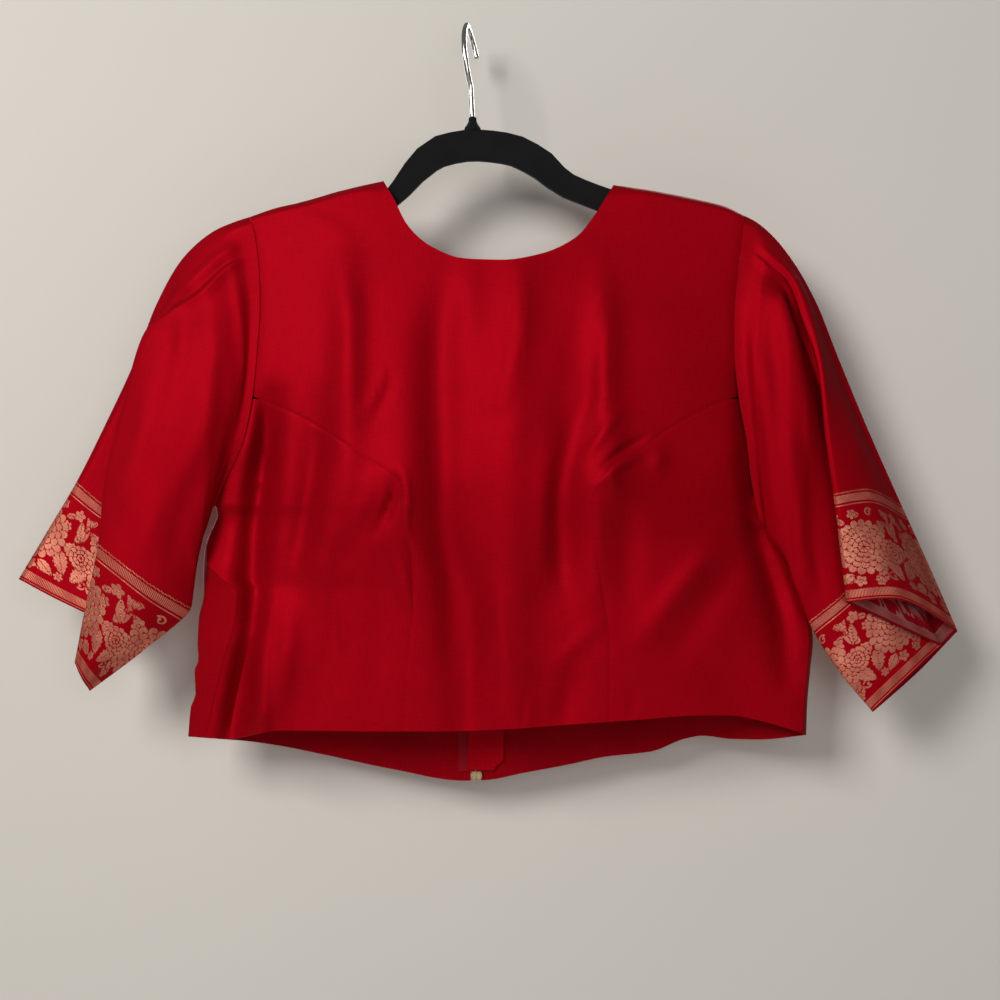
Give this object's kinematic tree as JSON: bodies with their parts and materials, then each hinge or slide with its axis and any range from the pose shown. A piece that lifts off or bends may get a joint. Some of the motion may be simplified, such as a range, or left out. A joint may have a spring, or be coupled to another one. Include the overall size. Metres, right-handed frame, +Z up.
{
  "type": "choli blouse on a hanger",
  "caption": "Short silk choli blouse with elbow sleeves, woven floral cuff borders, curved bust seams and a back zip, on a velvet hanger.",
  "frame": {"origin": "inside the crown of the hanger's hook, where it rests on what carries it", "axes": "+Z up, -Y towards the garment's front and the viewer, +X to the viewer's right along the hanger"},
  "size_m": [0.7096, 0.0909, 0.5828],
  "materials": {
    "red_silk": "smooth red silk with a soft sheen",
    "zari_band": "red silk border with a salmon gold woven floral pattern",
    "zip_tape": "dark red woven tape",
    "zip_metal": "dull antique brass",
    "velvet": "black flocked velvet",
    "hook_metal": "polished steel wire"
  },
  "bodies": {
    "blouse": {"front_centre": "red_silk", "front_side_left": "red_silk", "front_side_right": "red_silk", "back_left": "red_silk", "back_right": "red_silk", "sleeve_left": "red_silk", "sleeve_right": "red_silk", "sleeve_band_left": "zari_band", "sleeve_band_right": "zari_band", "zip_tape_left": "zip_tape", "zip_tape_right": "zip_tape", "zip_guard": "red_silk", "zip_box": "zip_metal", "zip_slider": "zip_metal", "hanger_bar": "velvet", "hanger_collar": "hook_metal", "hanger_hook": "hook_metal"},
    "pull_tab": {"zip_pull_tab": "zip_metal"}
  },
  "joints": [
    {"name": "pull_tab_hinge", "type": "hinge", "parent": "blouse", "child": "pull_tab", "pos_m": [0.00676, 0.00596, -0.3168], "axis": [1, 0, 0], "range_deg": [0, 160]}
  ]
}
